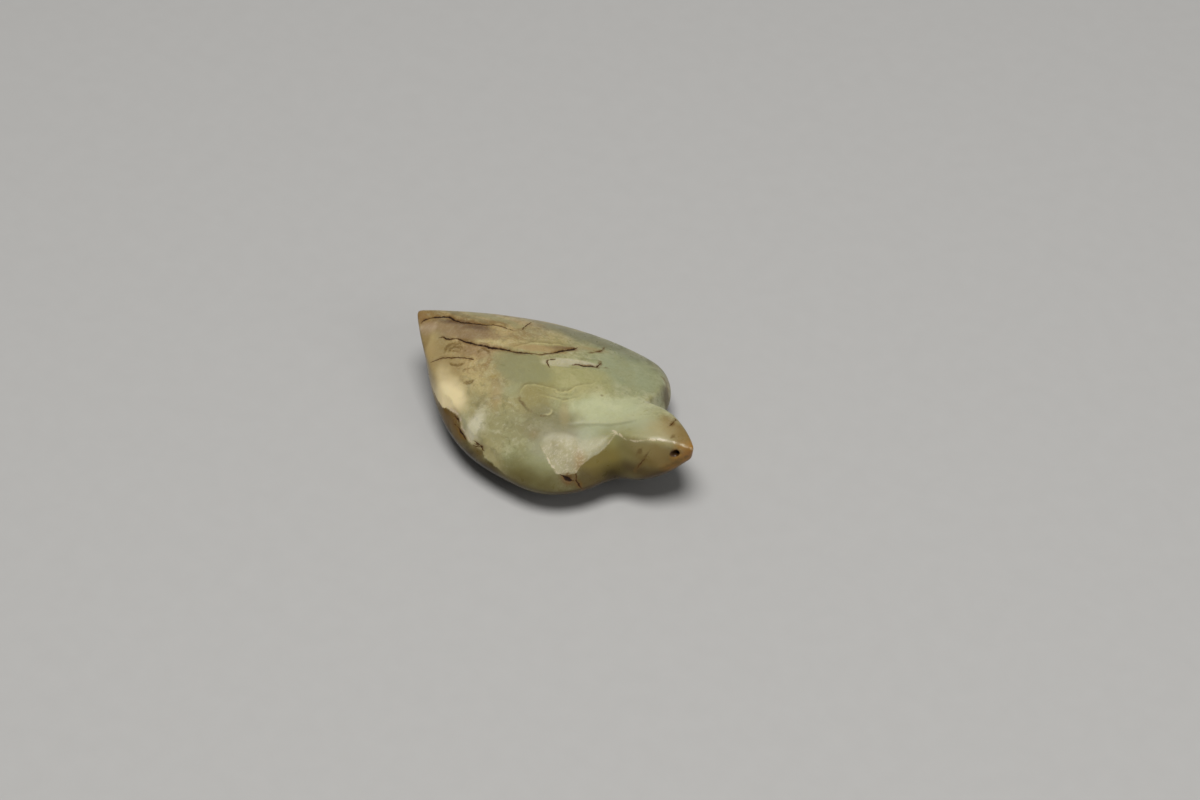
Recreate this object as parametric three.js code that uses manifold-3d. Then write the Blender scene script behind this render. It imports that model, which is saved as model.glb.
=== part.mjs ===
// A small jade bird carved from one flat pebble, lying on its belly.
// Millimetres. +X runs from the tail tip to the beak tip, +Y to the bird's left, +Z up.
import * as THREE from "three";
import { LoftGeometry } from "three/addons/geometries/LoftGeometry.js";
import { mergeVertices } from "three/addons/utils/BufferGeometryUtils.js";
import Module from "manifold-3d";

// Length from tail to beak and the height of both tips above the table
const tailX = -30;
const beakX = 30;
const tipHeight = 13.4;

// Middle line of the back over tail, back, nape, crown and beak
const backLine = {
  x: [tailX, -5, 14.5, 23.5, beakX],
  z: [tipHeight, 14.5, 13.6, 15.2, tipHeight],
  stops: [-28.2, 1.6, 13.4, 29],
};

// Keel under tail, belly, breast, throat, jaw and chin, a little below the table at its lowest
const keelLine = {
  x: [tailX, -20, -10, 1.5, 12, 20, 25, 28.4],
  z: [11.7, 5.17, 0.1, -0.6, 1.82, 3.86, 5.95, 9.4],
  stops: [-28, 1.5, 12.5, 28.4],
};

// The rim is the edge of the back and crown, the waist the widest line below it
const rightSide = {
  widestX: 4,
  rim: {
    endX: beakX,
    halfWidth: 16.6,
    height: 9.2,
    tailX: -30,
    tailPower: 2,
    tailPoint: 0.95,
    tailHeight: tipHeight,
    tailRise: 2.2,
    shoulderPower: 2,
    neckX: 16.4,
    neckHalfWidth: 4.8,
    neckHeight: 13.3,
    neckRise: 3,
    headPower: 2.1,
    endHeight: tipHeight,
    headRise: 1,
    headArch: 1.2,
  },
  waist: {
    endX: 29.6,
    halfWidth: 18.52,
    height: 5.8,
    tailX: -29.6,
    tailPower: 2.53,
    tailPoint: 1.3,
    tailHeight: 12.2,
    tailRise: 3.92,
    shoulderPower: 2.3,
    neckX: 18.68,
    neckHalfWidth: 6.8,
    neckHeight: 6.2,
    neckRise: 2,
    headPower: 2.6,
    endHeight: 11.6,
    headRise: 1.6,
    headArch: 0,
  },
};

// The left side is fuller, as the right one has lost its rim and shoulder corner
const leftSide = {
  widestX: 8.5,
  rim: {
    ...rightSide.rim,
    halfWidth: 17.85,
    height: 8.8,
    tailPower: 2.47,
    tailPoint: 1.1,
    tailRise: 2.78,
    shoulderPower: 2.34,
    neckX: 16.8,
    neckRise: 2.6,
  },
  waist: {
    ...rightSide.waist,
    halfWidth: 18.6,
    shoulderPower: 2.38,
    neckX: 17.9,
  },
};

// Drilled hole through the beak
const holeX = 27.5;
const holeZ = 12.4;
const holeMouth = 1.4;
const holeMiddle = 0.8;
const holeReach = 4;

// Rounding of the tips and softness of the edges, more of it at the widest place of the wings
const tipRoundness = 0.045;
const edgeRounding = 0.7;
const shoulderRounding = 1.6;
const shoulderRoundingRows = { middle: 34, reach: 5 };

// Easing of the valley between wing and head, in rows of the skin
const throatSoftness = 3;
const throatReach = 5;
const easedRows = 6;
const leastSoftness = 0.3;

// How much the flank bulges, 1 for a straight one
const tailFlankPower = 1.5;
const headFlankPower = 1;

// Rows of the skin along the tail, the shoulder and the head, and steps round one half.
// The slope of a line is taken over twice the slope step.
const tailRows = 30;
const shoulderRows = 18;
const headRows = 18;
const slopeStep = 0.01;
const backSteps = 11;
const edgeSteps = 4;
const flankSteps = 5;
const bellySteps = 11;

const { lerp, clamp } = THREE.MathUtils;

// Rows bunch together towards both tips
function place(row) {
  if (row <= tailRows) return { span: "tail", t: (row / tailRows) ** 1.5 };
  if (row <= tailRows + shoulderRows) return { span: "shoulder", t: (row - tailRows) / shoulderRows };
  return { span: "head", t: 1 - (1 - (row - tailRows - shoulderRows) / headRows) ** 1.5 };
}

// Fraction of the full width with its sharp tip rounded off
function rounded(fraction) {
  return Math.sqrt((fraction * (fraction + 2 * tipRoundness)) / (1 + 2 * tipRoundness));
}

function tailPlace(line, widestX, t) {
  const fraction = (1 - (1 - t) ** line.tailPower) ** line.tailPoint;
  const z = lerp(line.height, line.tailHeight, (1 - t) ** line.tailRise);
  return new THREE.Vector3(lerp(line.tailX, widestX, t), line.halfWidth * rounded(fraction), z);
}

// Part of a fuller ellipse from the widest place to the neck
function shoulderPlace(line, widestX, t) {
  const power = 2 / line.shoulderPower;
  const neckAngle = Math.acos((line.neckHalfWidth / line.halfWidth) ** (1 / power));
  const reach = (line.neckX - widestX) / Math.sin(neckAngle) ** power;
  const x = widestX + reach * Math.sin(neckAngle * t) ** power;
  const y = line.halfWidth * Math.cos(neckAngle * t) ** power;
  return new THREE.Vector3(x, y, lerp(line.height, line.neckHeight, t ** line.neckRise));
}

function headPlace(line, widestX, t) {
  const x = lerp(line.neckX, line.endX, t);
  const y = line.neckHalfWidth * rounded(1 - t ** line.headPower);
  const z = lerp(line.neckHeight, line.endHeight, t ** line.headRise);
  return new THREE.Vector3(x, y, z + line.headArch * Math.sin(Math.PI * t));
}

const placers = { tail: tailPlace, shoulder: shoulderPlace, head: headPlace };

// Point of a line in the middle plane, with the slope of the line there.
// The stops of the line are where the tail, the shoulder and the head begin and end.
function middlePoint(line, { span, t }) {
  const start = ["tail", "shoulder", "head"].indexOf(span);
  const curve = new THREE.CubicInterpolant(line.x, line.z, 1);
  const heightAt = (x) => curve.evaluate(x)[0];
  const x = lerp(line.stops[start], line.stops[start + 1], t);
  const slope = (heightAt(x + slopeStep) - heightAt(x - slopeStep)) / (2 * slopeStep);
  return { point: new THREE.Vector3(x, 0, heightAt(x)), slope };
}

// One half of a section, from the middle of the back over the rim to the keel
function halfSection({ rim, waist, back, keel, rounding, flankPower }) {
  const dome = (r) => {
    const p = new THREE.Vector3().lerpVectors(back.point, rim, r);
    p.z = lerp(back.point.z, rim.z, r * r);
    p.z += back.slope * (rim.x - back.point.x) * (r - r * r);
    return p;
  };
  const flank = (f) => {
    const p = new THREE.Vector3().lerpVectors(rim, waist, 1 - (1 - f) ** flankPower);
    p.z = lerp(rim.z, waist.z, f);
    return p;
  };
  const belly = (f) => {
    const out = Math.cos((f * Math.PI) / 2);
    const p = new THREE.Vector3().lerpVectors(keel.point, waist, out);
    p.z = lerp(waist.z, keel.point.z, Math.sqrt(1 - out * out));
    p.z += keel.slope * (waist.x - keel.point.x) * (out - out * out);
    return p;
  };
  const reach = Math.max(back.point.distanceTo(rim), 0.01);
  const drop = Math.max(rim.z - waist.z, 0.01);
  const edgeStart = Math.max(1 - rounding / reach, 0.5);
  const edgeEnd = Math.min(rounding / drop, 0.5);
  const edge = new THREE.QuadraticBezierCurve3(dome(edgeStart), rim, flank(edgeEnd));
  const points = [];
  for (let i = 0; i <= backSteps; i++) points.push(dome((edgeStart * i) / backSteps));
  for (let i = 1; i <= edgeSteps; i++) points.push(edge.getPoint(i / edgeSteps));
  for (let i = 1; i <= flankSteps; i++) points.push(flank(lerp(edgeEnd, 1, i / flankSteps)));
  for (let i = 1; i <= bellySteps; i++) points.push(belly(i / bellySteps));
  return points;
}

// Eases the valley between wing and head, crisp at the rim and softer towards the waist
function eased(halves) {
  const throatRow = tailRows + shoulderRows;
  return halves.map((half, row) =>
    half.map((point, step) => {
      const depth = clamp((step - backSteps - edgeSteps) / flankSteps, 0, 1);
      const nearness = Math.exp(-(((row - throatRow) / throatReach) ** 2));
      const softness = throatSoftness * Math.sqrt(depth) * nearness;
      if (softness < leastSoftness) return point;
      const sum = new THREE.Vector3();
      let total = 0;
      for (let other = row - easedRows; other <= row + easedRows; other++) {
        const weight = Math.exp(-(((other - row) / softness) ** 2));
        sum.addScaledVector(halves[other][step], weight);
        total += weight;
      }
      return sum.divideScalar(total);
    }),
  );
}

function sideSections({ rim, waist, widestX }) {
  const rows = tailRows + shoulderRows + headRows;
  const spots = Array.from({ length: rows + 1 }, (_, row) => place(row));
  const halves = spots.map((spot, row) => {
    const { span, t } = spot;
    const { middle, reach } = shoulderRoundingRows;
    const widestness = Math.exp(-(((row - middle) / reach) ** 2));
    return halfSection({
      rim: placers[span](rim, widestX, t),
      waist: placers[span](waist, widestX, t),
      back: middlePoint(backLine, spot),
      keel: middlePoint(keelLine, spot),
      rounding: edgeRounding + shoulderRounding * widestness,
      flankPower: {
        tail: tailFlankPower,
        shoulder: lerp(tailFlankPower, headFlankPower, t),
        head: headFlankPower,
      }[span],
    });
  });
  return eased(halves);
}

function carvedBody() {
  const left = sideSections(leftSide);
  const right = sideSections(rightSide);
  const rings = left.map((half, row) => {
    const other = right[row].slice(1, -1).map((p) => new THREE.Vector3(p.x, -p.y, p.z));
    return [...other, ...half.reverse()];
  });
  return new LoftGeometry(rings);
}

const wasm = await Module();
wasm.setup();

function toSolid(geometry) {
  const bare = geometry.index ? geometry.toNonIndexed() : geometry.clone();
  bare.deleteAttribute("normal");
  bare.deleteAttribute("uv");
  const merged = mergeVertices(bare, 1e-3);
  const mesh = new wasm.Mesh({
    numProp: 3,
    vertProperties: merged.attributes.position.array,
    triVerts: merged.index.array,
  });
  return new wasm.Manifold(mesh);
}

function fromSolid(solid) {
  const mesh = solid.getMesh();
  const geometry = new THREE.BufferGeometry();
  geometry.setAttribute("position", new THREE.BufferAttribute(mesh.vertProperties, 3));
  geometry.setIndex(new THREE.BufferAttribute(mesh.triVerts, 1));
  geometry.computeVertexNormals();
  return geometry;
}

// Hole through the beak, drilled from both sides and so narrowest in the middle
function drilledHole() {
  const profile = [
    [0, -holeReach],
    [holeMouth / 2, -holeReach],
    [holeMiddle / 2, 0],
    [holeMouth / 2, holeReach],
    [0, holeReach],
  ];
  const points = profile.map(([radius, along]) => new THREE.Vector2(radius, along));
  return new THREE.LatheGeometry(points, 20).translate(holeX, 0, holeZ);
}

// The table plane takes a little off the belly, so the figure rests on a flat spot
const below = new THREE.BoxGeometry(100, 100, 20).translate(0, 0, -10);
const body = toSolid(carvedBody()).subtract(toSolid(below));
const carved = body.subtract(toSolid(drilledHole()));
const jade = new THREE.MeshStandardMaterial({ color: 0xb5b394, roughness: 0.4, metalness: 0 });
const bird = new THREE.Mesh(fromSolid(carved), jade);
bird.name = "jade_bird";
const figure = new THREE.Group();
figure.add(bird);
export default figure;
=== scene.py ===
import math
from functools import partial

import bmesh
import bpy
import numpy as np
from mathutils import Matrix, Vector, noise
from mathutils.bvhtree import BVHTree


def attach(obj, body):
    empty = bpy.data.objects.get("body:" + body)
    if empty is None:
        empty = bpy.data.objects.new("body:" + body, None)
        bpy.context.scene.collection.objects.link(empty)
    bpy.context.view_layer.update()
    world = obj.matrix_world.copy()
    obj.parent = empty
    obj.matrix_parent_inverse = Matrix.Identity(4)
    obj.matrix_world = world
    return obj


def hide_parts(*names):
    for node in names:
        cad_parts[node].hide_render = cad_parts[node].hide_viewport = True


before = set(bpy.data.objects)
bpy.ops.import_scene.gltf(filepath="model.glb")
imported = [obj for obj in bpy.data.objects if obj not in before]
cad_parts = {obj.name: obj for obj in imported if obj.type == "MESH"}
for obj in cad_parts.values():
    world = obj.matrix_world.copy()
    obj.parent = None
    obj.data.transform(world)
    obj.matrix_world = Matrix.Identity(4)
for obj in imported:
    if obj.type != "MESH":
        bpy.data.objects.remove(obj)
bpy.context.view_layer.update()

mm = 0.001
scene = bpy.context.scene


# Camera, set up first because the marks on the stone are placed through it

photoView = {
    "azimuth": 35.33,  # degrees round the bird, 0 looks along +Y
    "elevation": 45.0,  # degrees above the table
    "aim": (6.44, 5.43, 7.0),
    "distance": 501.3,
    "lens": 85.0,
    "sensor": 36.0,
    "picture": (1200, 800),  # pixels
}


def makeCamera():
    turn = math.radians(photoView["azimuth"])
    tilt = math.radians(photoView["elevation"])
    back = Vector((math.sin(turn) * math.cos(tilt), -math.cos(turn) * math.cos(tilt), math.sin(tilt)))
    data = bpy.data.cameras.new("photoCamera")
    data.lens = photoView["lens"]
    data.sensor_width = photoView["sensor"]
    data.clip_start = 0.01
    data.clip_end = 20
    camera = bpy.data.objects.new("photoCamera", data)
    scene.collection.objects.link(camera)
    camera.location = (Vector(photoView["aim"]) + back * photoView["distance"]) * mm
    camera.rotation_euler = (-back).to_track_quat("-Z", "Y").to_euler()
    scene.camera = camera
    bpy.context.view_layer.update()
    return camera


camera = makeCamera()


def pictureRay(x, y):  # from the camera through a pixel of the 1200 by 800 picture, in millimetres
    width, height = photoView["picture"]
    focal = photoView["lens"] / photoView["sensor"] * width
    ray = Vector(((x - width / 2) / focal, (height / 2 - y) / focal, -1))
    direction = camera.matrix_world.to_3x3() @ ray
    return camera.matrix_world.translation / mm, direction.normalized()


def onStone(tree, x, y):  # the spot of the stone seen at that pixel
    start, direction = pictureRay(x, y)
    spot, normal, _, _ = tree.ray_cast(start, direction)
    if spot is None:
        raise ValueError(f"no stone at pixel {x}, {y}")
    return spot, normal


print("camera set")


# Stone: the CAD solid rounded and cut into fine even faces

roughStone = {
    "subdivisions": 1,
    "faceSize": 0.235,
    "smoothing": 6,
    "smoothingShare": 0.5,
}


def evaluatedMesh(thing, name):
    graph = bpy.context.evaluated_depsgraph_get()
    mesh = bpy.data.meshes.new_from_object(thing.evaluated_get(graph), depsgraph=graph)
    mesh.name = name
    return mesh


def replaceMesh(thing):  # keeps the result of the modifiers as a plain mesh
    mesh = evaluatedMesh(thing, thing.data.name)
    old = thing.data
    thing.modifiers.clear()
    thing.data = mesh
    bpy.data.meshes.remove(old)


def quadCopy(source):
    work = bmesh.new()
    work.from_mesh(source)
    work.transform(Matrix.Scale(1 / mm, 4))
    bmesh.ops.remove_doubles(work, verts=work.verts, dist=0.001)
    bmesh.ops.join_triangles(
        work, faces=work.faces, angle_face_threshold=math.pi, angle_shape_threshold=math.pi)
    mesh = bpy.data.meshes.new("jadeBirdStone")
    work.to_mesh(mesh)
    work.free()
    return mesh


def makeStone():
    thing = bpy.data.objects.new("jadeBirdStone", quadCopy(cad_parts["jade_bird"].data))
    scene.collection.objects.link(thing)
    rounding = thing.modifiers.new("rounding", "SUBSURF")
    rounding.levels = rounding.render_levels = roughStone["subdivisions"]
    evenFaces = thing.modifiers.new("evenFaces", "REMESH")
    evenFaces.mode = "VOXEL"
    evenFaces.voxel_size = roughStone["faceSize"]
    softening = thing.modifiers.new("softening", "SMOOTH")
    softening.iterations = roughStone["smoothing"]
    softening.factor = roughStone["smoothingShare"]
    replaceMesh(thing)
    return thing


stone = makeStone()
print("stone cut:", len(stone.data.vertices), "points")


def stoneTree():
    return BVHTree.FromPolygons(
        [v.co.copy() for v in stone.data.vertices], [tuple(p.vertices) for p in stone.data.polygons])


def readVertices(name="co"):
    flat = np.empty(len(stone.data.vertices) * 3)
    stone.data.vertices.foreach_get(name, flat)
    return flat.reshape(-1, 3)


def writePoints(points):
    stone.data.vertices.foreach_set("co", points.ravel())
    stone.data.update()


skin = stoneTree()


# Chips and scars: dishes scooped out of the skin, each seen at a pixel of the picture

scars = {
    "rimChips": [  # along the near edge of the back, pixel, reach and bite
        ((446, 410), 1.6, 0.16), ((453.5, 413.5), 1.3, 0.2), ((457.5, 418.5), 1.3, 0.25),
        ((460, 426), 1.6, 0.2), ((463.5, 433), 1.4, 0.22), ((467, 439.5), 1.5, 0.2),
        ((476, 445.5), 1.8, 0.22), ((483, 452), 1.5, 0.18), ((489, 460), 2.0, 0.18),
    ],
    "rimLean": 0.8,  # rise of a bite's middle over its way out
    "rimWaves": 1.3,  # per millimetre
    "longScar": {"from": (546, 361.5), "to": (601, 364.5), "halfWidth": 1.3, "bite": 0.34},
    "pit": {"from": (561.5, 475.8), "to": (571.5, 480.5), "halfWidth": 0.6, "bite": 0.12},
    "dishWaves": 1.7,
    "roughness": 0.3,
    "rimRoughness": 0.006,
}


def dish(points, start, end, halfWidth, bite):  # lowers the points inside an oval
    spot, normal = onStone(skin, *((a + b) / 2 for a, b in zip(start, end)))
    along = (onStone(skin, *end)[0] - onStone(skin, *start)[0]) / 2
    halfLength = along.length
    along = (along - along.dot(normal) * normal).normalized()
    across = normal.cross(along)
    offset = points - np.array(spot)
    u = offset @ np.array(along) / halfLength
    v = offset @ np.array(across) / halfWidth
    height = np.abs(offset @ np.array(normal))
    for index in np.flatnonzero((u * u + v * v < 2) & (height < 2)):
        ragged = 1 + scars["roughness"] * noise.noise(Vector(points[index]) * scars["dishWaves"])
        depth = bite * (1 - (u[index] ** 2 + v[index] ** 2) * ragged)
        if depth > 0:
            points[index] -= np.array(normal) * depth


def biteRim(points, spot, outward, reach, bite):  # a round bite out of an edge
    radius = (reach ** 2 + bite ** 2) / (2 * bite)
    centre = np.array(spot + outward * (radius - bite))
    offset = points - centre
    distance = np.linalg.norm(offset, axis=1)
    for index in np.flatnonzero(distance < radius * 1.05):
        ragged = noise.noise(Vector(points[index]) * scars["rimWaves"])
        wanted = radius * (1 + scars["rimRoughness"] * ragged)
        if distance[index] < wanted:
            points[index] = centre + offset[index] * wanted / distance[index]


def cutScars():
    points = readVertices()
    for pixel, reach, bite in scars["rimChips"]:
        spot, normal = onStone(skin, *pixel)
        outward = Vector((normal.x, normal.y, 0)).normalized() + Vector((0, 0, scars["rimLean"]))
        biteRim(points, spot, outward.normalized(), reach, bite)
    for name in ("longScar", "pit"):
        facts = scars[name]
        dish(points, facts["from"], facts["to"], facts["halfWidth"], facts["bite"])
    writePoints(points)


cutScars()
print("scars cut")


# Uneven hand polish over the whole stone

polish = {
    "waves": [(9.0, 0.09), (2.6, 0.025)],  # their size and height
    "above": 0.6,  # the flat spot below this height stays flat
}


def unevenPolish():
    points = readVertices()
    normals = readVertices("normal")
    for index, point in enumerate(points):
        place = Vector(point)
        lift = sum(height * noise.noise(place / size) for size, height in polish["waves"])
        if point[2] > polish["above"]:
            points[index] = point + normals[index] * lift
    writePoints(points)


unevenPolish()
print("polish done")


def keepValues(name, values):
    attribute = stone.data.attributes.new(name, "FLOAT", "POINT")
    attribute.data.foreach_set("value", values.astype(np.float32))


# Lines that follow the skin: each is a path of pixels with the half width of its mark

lines = {
    "cracks": {
        "farRim": [
            (420.5, 323, 0.05), (425.3, 319.6, 0.12), (433, 317.7, 0.07), (437.5, 317, 0.2),
            (443, 316.5, 0.27), (449, 316.7, 0.22), (455, 320.6, 0.15), (464.5, 322.5, 0.2),
            (471.2, 323, 0.22), (478.9, 323.9, 0.18), (486.5, 325, 0.14), (492.3, 324.7, 0.07),
            (501.8, 326.3, 0.1), (510.4, 329.7, 0.06), (516.2, 330.6, 0.05), (522, 329.7, 0.04),
            (525.8, 325.8, 0.08), (533.4, 321.2, 0.04)],
        "back": [
            (439.7, 337.8, 0.04), (443.5, 336.8, 0.1), (446.8, 338.7, 0.16), (451.1, 339.2, 0.08),
            (456.9, 338.3, 0.07), (464.5, 341.3, 0.15), (475, 344.2, 0.15), (486.5, 346.1, 0.17),
            (488.9, 347.4, 0.2), (501.8, 349, 0.18), (510.4, 350.7, 0.17), (516.2, 352.4, 0.17),
            (524.8, 352.8, 0.15), (533.4, 353.6, 0.08), (539.1, 354.7, 0.07), (545.8, 353.8, 0.09),
            (556.3, 352.3, 0.14), (561.4, 350.8, 0.2), (568.6, 349.6, 0.22), (573.7, 349, 0.2),
            (576.4, 347.9, 0.05)],
        "backEnd": [(595, 352.2, 0.03), (600.2, 351.2, 0.08), (603.3, 349.3, 0.05), (604.3, 347.2, 0.02)],
        "tail": [
            (431.5, 362, 0.04), (436.8, 360.3, 0.06), (440.6, 358.5, 0.075), (448.3, 357.7, 0.07),
            (455.9, 357.4, 0.075), (463.6, 357.9, 0.08), (471, 358.9, 0.09), (473, 359.2, 0.05)],
        "scar": [
            (573.7, 364.9, 0.06), (578.8, 364.3, 0.1), (583.9, 366.1, 0.14), (591, 365.9, 0.13),
            (596.1, 366.9, 0.16), (599.2, 365.1, 0.1), (601.2, 363.1, 0.04)],
        "scarEdge": [(554, 359.2, 0.05), (546.6, 360, 0.06), (547.7, 364, 0.07), (549.5, 367, 0.04)],
        "pit": [
            (560.5, 475, 0.05), (563.5, 476.6, 0.2), (567.5, 478.6, 0.32), (570.3, 480.2, 0.24),
            (572.5, 480.6, 0.05)],
        "breast": [(575.7, 475, 0.06), (576.7, 480.6, 0.12), (579.3, 485.7, 0.1), (583.9, 490.3, 0.04)],
        "cheek": [
            (652.2, 447, 0.02), (648.2, 453, 0.04), (644, 459.2, 0.05), (640, 464.3, 0.055),
            (635.9, 470.4, 0.03)],
        "crown": [(675.7, 419.9, 0.06), (671.6, 424.5, 0.07), (668, 427, 0.03)],
        "rimPits": [(455.6, 416.5, 0.07), (457.3, 418.6, 0.19), (458.8, 421.2, 0.09)],
        "rimPitsLow": [
            (458.5, 427.5, 0.05), (460.5, 431.5, 0.13), (463, 435.2, 0.17), (465.4, 438.2, 0.07)],
        "rimPitSide": [(453.5, 423.6, 0.03), (455.5, 424.4, 0.07), (456.6, 426, 0.03)],
        "rimSplit": [
            (473.5, 440.2, 0.03), (476.5, 442.8, 0.07), (479, 444.6, 0.09), (482, 447.4, 0.1),
            (484, 451.5, 0.04), (486.5, 456, 0.02)],
        "rimSplitLow": [(470.8, 444.2, 0.03), (475, 446, 0.06), (481, 447.6, 0.05)],
    },
    "scrolls": {
        "upper": [
            (519.5, 396, 0.04), (519.8, 390.5, 0.1), (525, 386.4, 0.14), (534.4, 384.7, 0.12),
            (543.9, 386, 0.1), (553.5, 389, 0.14), (560.4, 391.6, 0.18), (568.6, 391.6, 0.18),
            (574.7, 387.4, 0.14), (583, 384.5, 0.1), (592, 384.2, 0.08), (597, 380, 0.06),
            (600, 374, 0.03)],
        "inner": [
            (548, 387.6, 0.03), (556, 393.6, 0.08), (563, 396.5, 0.1), (571, 396, 0.1), (578, 393, 0.08),
            (583, 389.5, 0.03)],
        "lower": [
            (536, 394.3, 0.04), (548, 396.5, 0.1), (555.3, 398.6, 0.12), (563.5, 400.6, 0.14),
            (572, 399.6, 0.12), (580, 396.6, 0.08), (585, 392.5, 0.03)],
        "loop": [(521, 402, 0.03), (525, 406, 0.06), (531, 411.5, 0.04)],
        "crescent": [(552, 408.4, 0.05), (551.5, 412, 0.22), (547.5, 414.8, 0.16), (543, 415.4, 0.04)],
        "lens": [
            (511.4, 349.7, 0.05), (515.2, 346.9, 0.1), (522.9, 344.5, 0.15), (534.4, 343, 0.18),
            (547.8, 343.5, 0.16), (560, 344.6, 0.12), (572, 346.4, 0.05)],
    },
    "veins": {
        "archOuter": [
            (444.5, 353.5, 0.06), (446.5, 347.5, 0.22), (452, 343.3, 0.25), (459, 343.8, 0.25),
            (464.5, 351, 0.12)],
        "archRight": [
            (477, 358.5, 0.04), (478.5, 351.8, 0.14), (483, 348.8, 0.17), (488, 351, 0.14),
            (491, 357, 0.05)],
        "archMiddle": [
            (448.5, 353.5, 0.05), (450.5, 349, 0.18), (454.5, 346.4, 0.2), (459, 348, 0.18),
            (461.5, 353, 0.08)],
        "archInner": [(452, 354, 0.05), (454, 350.6, 0.13), (457.5, 351, 0.12), (458.5, 354, 0.05)],
        "ringLow": [
            (448, 361.5, 0.04), (451.5, 364.4, 0.15), (458, 365.8, 0.15), (463.5, 363, 0.14),
            (466, 359.5, 0.05)],
        "ringLowest": [(447, 366, 0.03), (455, 369.5, 0.07), (463, 368, 0.04)],
        "tailMark": [
            (459.5, 374.5, 0.03), (460.5, 379.5, 0.08), (463.5, 382, 0.1), (467, 383, 0.16),
            (470, 382.3, 0.16), (474.5, 379.8, 0.06)],
        "tailLoop": [
            (461, 384, 0.04), (460, 377, 0.08), (464.5, 369.5, 0.1), (472, 367, 0.08), (478, 372, 0.05)],
        "loopLine": [
            (519.5, 395, 0.06), (519.5, 400.5, 0.11), (524, 404.8, 0.14), (528.4, 409.5, 0.12),
            (532, 412.5, 0.09), (538, 415.2, 0.11), (544, 415.9, 0.1), (549, 414.8, 0.06)],
        "neckHair": [(628, 416.6, 0.03), (638, 414.8, 0.06), (647, 414.3, 0.05), (658, 416, 0.02)],
        "shoulderHair": [(646, 391, 0.02), (655, 392.8, 0.06), (664, 395, 0.05)],
        "shoulderHairHigh": [(652, 399, 0.02), (660, 400.5, 0.06), (665.5, 401, 0.05)],
        "edgeStreak": [(660.5, 376, 0.05), (664, 379, 0.2), (666.5, 385, 0.2), (667, 392, 0.1)],
        "backEnd": [
            (583.9, 352.8, 0.04), (591, 352.6, 0.14), (598, 351.5, 0.2), (603.3, 349.6, 0.16),
            (604.6, 346.6, 0.05)],
        "scarRound": [(597, 359, 0.04), (600.5, 361.5, 0.12), (600, 365.5, 0.14), (598.5, 367.4, 0.1)],
        "scarTail": [(600, 367.4, 0.08), (606, 367.7, 0.08), (611, 368.5, 0.03)],
        "crownSpot": [(677, 434, 0.05), (674, 435.8, 0.16), (671, 438, 0.1)],
        "crownHair": [(668, 421, 0.03), (662, 426, 0.06), (655, 431, 0.03)],
        "crownCrack": [(675.5, 420.2, 0.2), (671.6, 424.5, 0.18), (667, 427.5, 0.08)],
        "napeSpot": [(600, 394.8, 0.05), (602, 395.2, 0.14), (604, 395.4, 0.05)],
        "cheekSoft": [(652, 448, 0.05), (646, 456, 0.14), (641, 463, 0.2), (634.5, 471, 0.16)],
        "cheekSecond": [(643, 447, 0.05), (639.5, 451.5, 0.2), (636, 455.5, 0.06)],
        "jawLine": [
            (690.5, 454.5, 0.1), (682.9, 458.6, 0.22), (674, 463.5, 0.24), (664, 468, 0.16),
            (655, 470, 0.05)],
        "breastStain": [(574.5, 472, 0.08), (576, 477, 0.24), (578, 483, 0.26), (582.5, 490, 0.16)],
        "tipSpeck": [(577, 462, 0.04), (578.5, 466, 0.14), (576, 470, 0.06)],
        "tipSpeckLow": [(566, 473, 0.05), (571, 474.5, 0.16), (576, 473, 0.05)],
    },
    "borders": {  # the paler side is on the right of the way the path runs
        "wingTip": [
            (570, 474.5, 0.05), (564.5, 475.8, 0.1), (557, 473, 0.16), (550.5, 464, 0.17),
            (545.5, 455, 0.15), (541, 447, 0.03)],
        "leadingEdge": [
            (616, 432.5, 0.1), (612.8, 437.5, 0.12), (609.2, 443, 0.12), (603.8, 449, 0.1),
            (598.5, 453.3, 0.08), (592, 457.5, 0.06), (585, 462.3, 0.05), (580, 466.5, 0.05),
            (576.8, 471.5, 0.04)],
        "crownEdge": [
            (692, 449, 0.1), (687, 446.5, 0.2), (676, 442.6, 0.2), (670, 441.4, 0.08), (662, 440.2, 0.18),
            (652, 439.5, 0.2), (644, 440.4, 0.1), (636, 441, 0.16), (626, 439.4, 0.1), (621, 435.5, 0.2),
            (614, 431.5, 0.2)],
    },
    "rim": {  # between the pale back on the right of the path and the brown flank
        "nearRim": [
            (530, 486, 0.02), (515, 478.5, 0.03), (500.8, 471.1, 0.05), (493, 463.4, 0.07),
            (485.3, 456.5, 0.06), (481, 448.7, 0.08), (473.2, 444.4, 0.1), (468, 441, 0.14),
            (465.5, 435.8, 0.2), (462, 429.8, 0.22), (460.3, 422.9, 0.22), (456, 413.4, 0.22),
            (450.8, 410.8, 0.2), (444.4, 407.4, 0.08), (438, 400.5, 0.04), (433.5, 390.5, 0.02)],
    },
    "creases": {
        "nape": [
            (568, 425.2, 0.2), (577.8, 424.6, 0.5), (597.1, 424.5, 0.8), (615.5, 424, 0.8),
            (628.8, 421.8, 0.6), (640, 419, 0.2)],
        "jaw": [
            (689.5, 455, 0.2), (682.9, 459, 0.4), (674, 464, 0.5), (665, 468.5, 0.5), (657, 471, 0.3)],
    },
}

# Depth and reach of the groove in half widths, then millimetres and the seed of the wobble
settingNames = ("Groove depth", "Groove reach", "Least reach", "Wobble", "Wobble size", "Seed")
lineSettings = {
    "cracks": (0.8, 1.4, 0.14, 0.3, 0.8, 3.0),
    "scrolls": (0.12, 1.8, 0.2, 0.75, 1.5, 8.0),
    "veins": (0.05, 1.5, 0.2, 0.18, 1.2, 6.0),
    "borders": (0.0, 1.6, 0.15, 0.22, 1.0, 4.0),
    "rim": (0.0, 1.6, 0.15, 0.5, 1.3, 2.0),
    "creases": (0.07, 1.6, 0.1, 0.3, 3.0, 5.0),
}
lineStep = 0.08  # between the points in which a line is measured


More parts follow.
